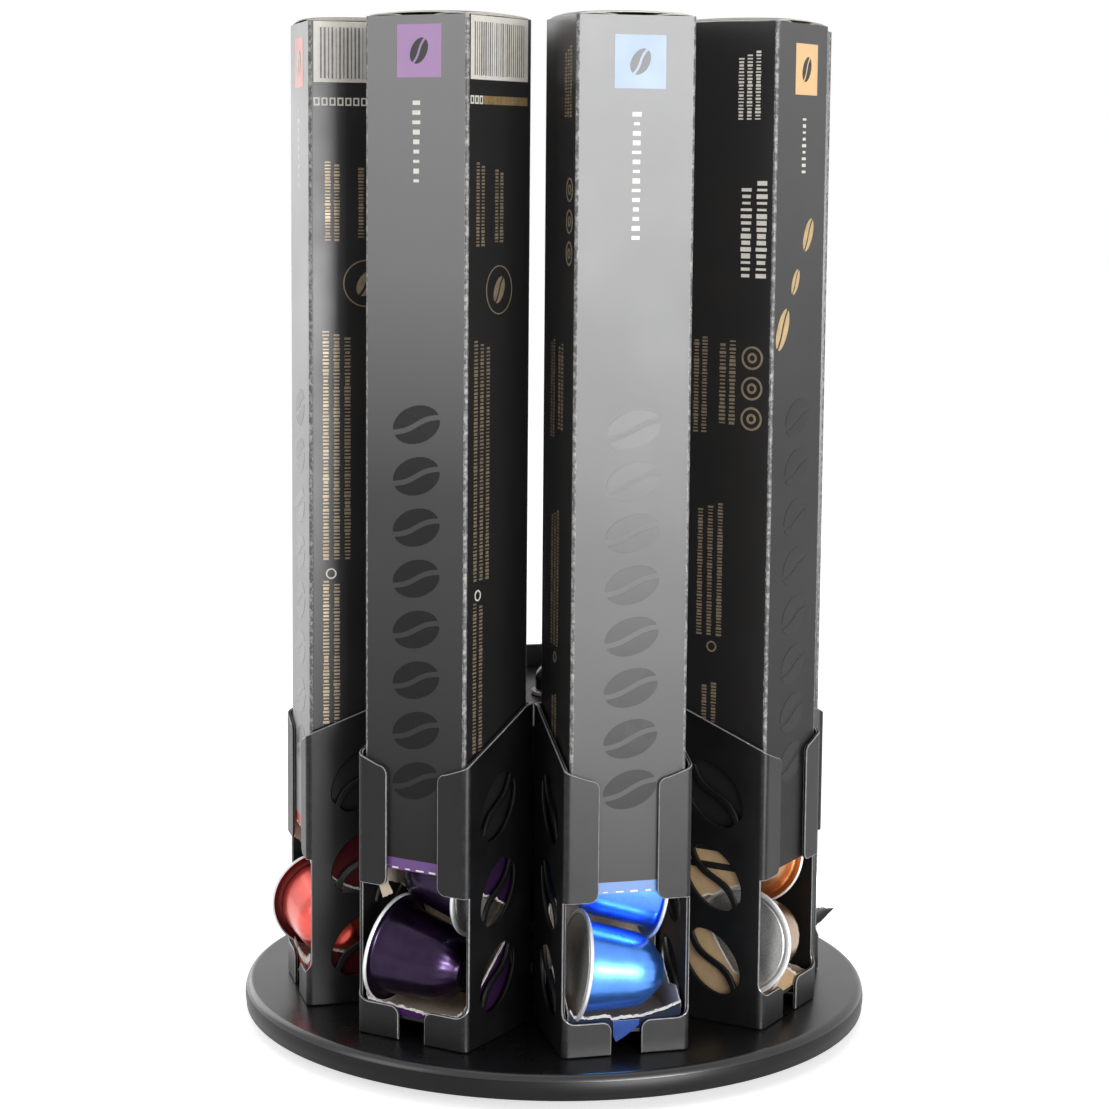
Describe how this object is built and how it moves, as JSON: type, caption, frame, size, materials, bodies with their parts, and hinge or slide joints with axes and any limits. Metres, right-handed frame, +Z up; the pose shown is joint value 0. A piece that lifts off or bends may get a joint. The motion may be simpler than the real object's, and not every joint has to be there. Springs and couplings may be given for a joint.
{
  "type": "coffee capsule dispenser",
  "caption": "Rotating countertop dispenser: a ring of folded sheet bays on a turntable holds tall cartons of coffee capsules, and each bay gives one out at its foot.",
  "frame": {"origin": "where the spindle's axis meets the table", "axes": "+Z up along the spindle; bay 1 faces -Y and the others follow it towards +X"},
  "size_m": [0.216, 0.216, 0.3418],
  "materials": {
    "black_sheet": "satin black powder coat",
    "black_disc": "glossy moulded black",
    "zinc_steel": "zinc plated",
    "black_steel": "black oxide",
    "nylon": "natural nylon",
    "rubber": "matte",
    "carton_board_1": "coated board, dark grey",
    "carton_board_2": "coated board, dark grey",
    "carton_board_3": "coated board, dark grey",
    "carton_board_4": "coated board, dark grey",
    "carton_board_6": "coated board, dark grey",
    "carton_board_7": "coated board, dark grey",
    "carton_board_8": "coated board, dark grey",
    "capsule_blue": "lacquered foil, satin",
    "capsule_gold": "lacquered foil, satin",
    "capsule_silver": "lacquered foil, satin",
    "capsule_green": "lacquered foil, satin",
    "capsule_pearl": "lacquered foil, satin",
    "capsule_red": "lacquered foil, satin",
    "capsule_violet": "lacquered foil, satin"
  },
  "bodies": {
    "foot": {"foot_plate": "zinc_steel", "foot_pad_1": "rubber", "foot_pad_2": "rubber", "foot_pad_3": "rubber", "foot_pad_4": "rubber", "glide_ring": "nylon", "spindle": "zinc_steel", "spindle_nut": "zinc_steel", "spindle_cap_nut": "black_steel"},
    "turntable": {"turntable_disc": "black_disc", "disc_bush": "nylon", "hub_cap": "black_sheet", "cap_bush": "nylon", "bay_1": "black_sheet", "bay_2": "black_sheet", "bay_3": "black_sheet", "bay_4": "black_sheet", "bay_5": "black_sheet", "bay_6": "black_sheet", "bay_7": "black_sheet", "bay_8": "black_sheet", "bay_screw_1": "zinc_steel", "bay_screw_2": "zinc_steel", "bay_screw_3": "zinc_steel", "bay_screw_4": "zinc_steel", "bay_screw_5": "zinc_steel", "bay_screw_6": "zinc_steel", "bay_screw_7": "zinc_steel", "bay_screw_8": "zinc_steel"},
    "carton_1": {"carton_1": "carton_board_1", "upper_capsule_1": "capsule_blue"},
    "capsule_1": {"lower_capsule_1": "capsule_blue"},
    "carton_2": {"carton_2": "carton_board_2", "upper_capsule_2": "capsule_gold"},
    "capsule_2": {"lower_capsule_2": "capsule_gold"},
    "carton_3": {"carton_3": "carton_board_3", "upper_capsule_3": "capsule_silver"},
    "capsule_3": {"lower_capsule_3": "capsule_silver"},
    "carton_4": {"carton_4": "carton_board_4", "upper_capsule_4": "capsule_green"},
    "capsule_4": {"lower_capsule_4": "capsule_green"},
    "carton_6": {"carton_6": "carton_board_6", "upper_capsule_6": "capsule_pearl"},
    "capsule_6": {"lower_capsule_6": "capsule_pearl"},
    "carton_7": {"carton_7": "carton_board_7", "upper_capsule_7": "capsule_red"},
    "capsule_7": {"lower_capsule_7": "capsule_red"},
    "carton_8": {"carton_8": "carton_board_8", "upper_capsule_8": "capsule_violet"},
    "capsule_8": {"lower_capsule_8": "capsule_violet"}
  },
  "joints": [
    {"name": "turntable_spin", "type": "hinge", "parent": "foot", "child": "turntable", "pos_m": [0, 0, 0], "axis": [0, 0, 1], "continuous": true},
    {"name": "carton_1_lift", "type": "slide", "parent": "turntable", "child": "carton_1", "axis": [0, 0, 1], "range_m": [0, 0.105]},
    {"name": "capsule_1_roll_out", "type": "hinge", "parent": "turntable", "child": "capsule_1", "pos_m": [0, -0.09069, 0.0236], "axis": [1, 0, 0], "range_deg": [0, 95]},
    {"name": "carton_2_lift", "type": "slide", "parent": "turntable", "child": "carton_2", "axis": [0, 0, 1], "range_m": [0, 0.105]},
    {"name": "capsule_2_roll_out", "type": "hinge", "parent": "turntable", "child": "capsule_2", "pos_m": [0.06413, -0.06413, 0.0236], "axis": [0.7071, 0.7071, 0], "range_deg": [0, 95]},
    {"name": "carton_3_lift", "type": "slide", "parent": "turntable", "child": "carton_3", "axis": [0, 0, 1], "range_m": [0, 0.105]},
    {"name": "capsule_3_roll_out", "type": "hinge", "parent": "turntable", "child": "capsule_3", "pos_m": [0.09069, 0, 0.0236], "axis": [0, 1, 0], "range_deg": [0, 95]},
    {"name": "carton_4_lift", "type": "slide", "parent": "turntable", "child": "carton_4", "axis": [0, 0, 1], "range_m": [0, 0.105]},
    {"name": "capsule_4_roll_out", "type": "hinge", "parent": "turntable", "child": "capsule_4", "pos_m": [0.06413, 0.06413, 0.0236], "axis": [-0.7071, 0.7071, 0], "range_deg": [0, 95]},
    {"name": "carton_6_lift", "type": "slide", "parent": "turntable", "child": "carton_6", "axis": [0, 0, 1], "range_m": [0, 0.105]},
    {"name": "capsule_6_roll_out", "type": "hinge", "parent": "turntable", "child": "capsule_6", "pos_m": [-0.06413, 0.06413, 0.0236], "axis": [-0.7071, -0.7071, 0], "range_deg": [0, 95]},
    {"name": "carton_7_lift", "type": "slide", "parent": "turntable", "child": "carton_7", "axis": [0, 0, 1], "range_m": [0, 0.105]},
    {"name": "capsule_7_roll_out", "type": "hinge", "parent": "turntable", "child": "capsule_7", "pos_m": [-0.09069, 0, 0.0236], "axis": [0, -1, 0], "range_deg": [0, 95]},
    {"name": "carton_8_lift", "type": "slide", "parent": "turntable", "child": "carton_8", "axis": [0, 0, 1], "range_m": [0, 0.105]},
    {"name": "capsule_8_roll_out", "type": "hinge", "parent": "turntable", "child": "capsule_8", "pos_m": [-0.06413, -0.06413, 0.0236], "axis": [0.7071, -0.7071, 0], "range_deg": [0, 95]}
  ]
}
